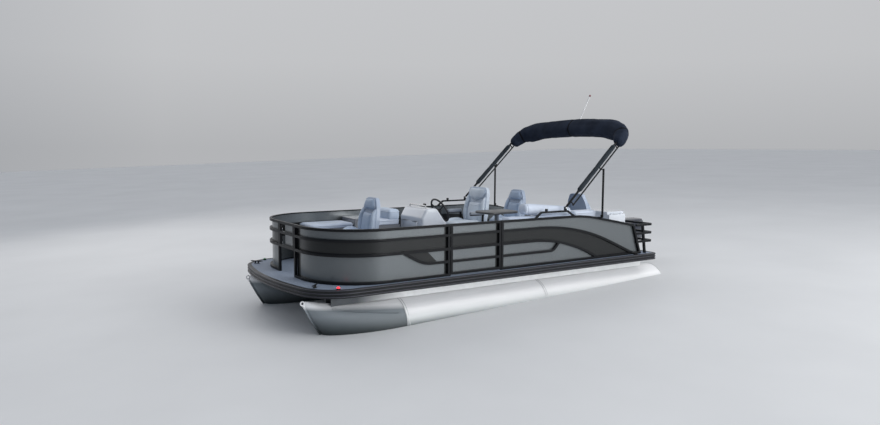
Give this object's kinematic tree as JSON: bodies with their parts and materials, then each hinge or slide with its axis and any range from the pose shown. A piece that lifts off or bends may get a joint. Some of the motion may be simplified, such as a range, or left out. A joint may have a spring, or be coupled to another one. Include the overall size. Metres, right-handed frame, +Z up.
{
  "type": "pontoon boat",
  "caption": "Pontoon boat on two round tubes, with a panelled fence and gates, swivel chairs, lounge, helm console, folded canopy frame and an outboard motor.",
  "frame": {"origin": "on the floor under the keels, at the middle of the boat's length and beam", "axes": "+X towards the bow, +Y to port, +Z up"},
  "size_m": [6.83, 2.59, 3.2397],
  "materials": {
    "tube_aluminium": "mill finish",
    "riser_cream": "satin",
    "mill_aluminium": "mill finish",
    "deck_vinyl": "woven",
    "trim_black": "satin",
    "lens_red": "gloss",
    "lens_green": "gloss",
    "cleat_black": "satin",
    "frame_charcoal": "anodised satin",
    "panel_gray": "metallic gloss",
    "band_dark": "metallic gloss",
    "stainless": "brushed",
    "shell_white": "gloss",
    "furniture_gray": "satin",
    "cushion_vinyl": "satin grain",
    "chair_vinyl": "satin grain",
    "helm_black": "satin",
    "pedestal_gray": "satin",
    "table_gray": "gloss",
    "canopy_aluminium": "anodised",
    "sleeve_cloth": "woven",
    "boot_cloth": "woven",
    "outboard_dark": "gloss",
    "cowl_navy": "gloss",
    "propeller_black": "satin"
  },
  "bodies": {
    "hull": {"tube_port": "tube_aluminium", "tube_starboard": "tube_aluminium", "risers": "riser_cream", "cross_members": "mill_aluminium", "deck": "deck_vinyl", "deck_trim": "trim_black", "motor_pod": "mill_aluminium", "nav_light_port": "lens_red", "nav_light_starboard": "lens_green", "deck_cleats": "cleat_black", "fence_frame_port_bow": "frame_charcoal", "fence_frame_starboard_bow": "frame_charcoal", "fence_frame_port_aft": "frame_charcoal", "fence_frame_starboard_aft": "frame_charcoal", "fence_panels_port": "panel_gray", "fence_panels_starboard": "panel_gray", "fence_bands_port": "band_dark", "fence_bands_starboard": "band_dark", "gate_hinges": "stainless", "bench_base": "furniture_gray", "bench_cushion": "cushion_vinyl", "lounge_base": "furniture_gray", "lounge_seat": "cushion_vinyl", "lounge_back": "cushion_vinyl", "console": "shell_white", "helm_column": "helm_black", "seat_pedestals": "pedestal_gray", "table_pedestal": "pedestal_gray", "table_top": "table_gray", "aft_station": "shell_white", "canopy_brackets": "canopy_aluminium", "outboard_clamp": "outboard_dark"},
    "port_gate": {"port_gate_frame": "frame_charcoal", "port_gate_panel": "panel_gray", "port_gate_band": "band_dark"},
    "bow_gate": {"bow_gate_frame": "frame_charcoal", "bow_gate_panel": "panel_gray"},
    "stern_gate": {"stern_gate": "frame_charcoal"},
    "steering_wheel": {"steering_wheel": "helm_black"},
    "helm_chair": {"helm_chair": "chair_vinyl"},
    "bow_chair": {"bow_chair": "chair_vinyl"},
    "port_aft_chair": {"port_aft_chair": "chair_vinyl"},
    "starboard_aft_chair": {"starboard_aft_chair": "chair_vinyl"},
    "station_lid": {"aft_station_lid": "shell_white"},
    "canopy": {"canopy_arms": "canopy_aluminium", "canopy_sleeves": "sleeve_cloth", "canopy_boot": "boot_cloth", "all_round_light": "shell_white"},
    "canopy_leg_port": {"canopy_leg_port": "canopy_aluminium"},
    "canopy_leg_starboard": {"canopy_leg_starboard": "canopy_aluminium"},
    "outboard_tilt": {"outboard_swivel": "outboard_dark"},
    "outboard_steer": {"outboard_leg": "outboard_dark", "outboard_cowl": "cowl_navy", "outboard_gearcase": "outboard_dark"},
    "propeller": {"propeller": "propeller_black"}
  },
  "joints": [
    {"name": "port_gate_swing", "type": "hinge", "parent": "hull", "child": "port_gate", "pos_m": [1.482, 1.154, 1.189], "axis": [0, 0, 1], "range_deg": [0, 95]},
    {"name": "bow_gate_swing", "type": "hinge", "parent": "hull", "child": "bow_gate", "pos_m": [3.084, -0.2425, 1.289], "axis": [0, 0, 1], "range_deg": [0, 95]},
    {"name": "stern_gate_swing", "type": "hinge", "parent": "hull", "child": "stern_gate", "pos_m": [-2.24, -0.954, 1.139], "axis": [0, 0, -1], "range_deg": [0, 95]},
    {"name": "steering_wheel_turn", "type": "hinge", "parent": "hull", "child": "steering_wheel", "pos_m": [0.47, -0.56, 1.519], "axis": [-0.8829, 0, 0.4695], "range_deg": [-541, 541]},
    {"name": "helm_chair_swivel", "type": "hinge", "parent": "hull", "child": "helm_chair", "pos_m": [-0.002, -0.56, 1.189], "axis": [0, 0, 1], "continuous": true},
    {"name": "bow_chair_swivel", "type": "hinge", "parent": "hull", "child": "bow_chair", "pos_m": [1.973, -0.3, 1.189], "axis": [0, 0, 1], "continuous": true},
    {"name": "port_aft_chair_swivel", "type": "hinge", "parent": "hull", "child": "port_aft_chair", "pos_m": [-1.765, 0.3, 1.189], "axis": [0, 0, 1], "continuous": true},
    {"name": "starboard_aft_chair_swivel", "type": "hinge", "parent": "hull", "child": "starboard_aft_chair", "pos_m": [-0.887, -0.62, 1.189], "axis": [0, 0, 1], "continuous": true},
    {"name": "station_lid_open", "type": "hinge", "parent": "hull", "child": "station_lid", "pos_m": [-1.555, 1.096, 1.511], "axis": [-1, 0, 0], "range_deg": [0, 75]},
    {"name": "canopy_fold", "type": "hinge", "parent": "hull", "child": "canopy", "pos_m": [-0.445, 0, 1.646], "axis": [0, -1, 0], "range_deg": [0, 24]},
    {"name": "canopy_leg_port_fold", "type": "hinge", "parent": "canopy", "child": "canopy_leg_port", "pos_m": [-1.11619, 1.233, 2.16466], "axis": [0, -1, 0], "range_deg": [0, 46]},
    {"name": "canopy_leg_starboard_fold", "type": "hinge", "parent": "canopy", "child": "canopy_leg_starboard", "pos_m": [-1.11619, -1.233, 2.16466], "axis": [0, -1, 0], "range_deg": [0, 46]},
    {"name": "outboard_tilt", "type": "hinge", "parent": "hull", "child": "outboard_tilt", "pos_m": [-2.733, 0, 0.856], "axis": [0, 1, 0], "range_deg": [0, 58]},
    {"name": "outboard_steer", "type": "hinge", "parent": "outboard_tilt", "child": "outboard_steer", "pos_m": [-2.807, 0, 0.856], "axis": [0, 0, 1], "range_deg": [-35, 35]},
    {"name": "propeller_spin", "type": "hinge", "parent": "outboard_steer", "child": "propeller", "pos_m": [-3.057, 0, 0.152], "axis": [1, 0, 0], "continuous": true}
  ],
  "couplings": [
    {"joint": "steering_wheel_turn", "follows": "outboard_steer", "ratio": -15.43},
    {"joint": "canopy_leg_port_fold", "follows": "canopy_fold", "ratio": 1.9},
    {"joint": "canopy_leg_starboard_fold", "follows": "canopy_fold", "ratio": 1.9}
  ]
}
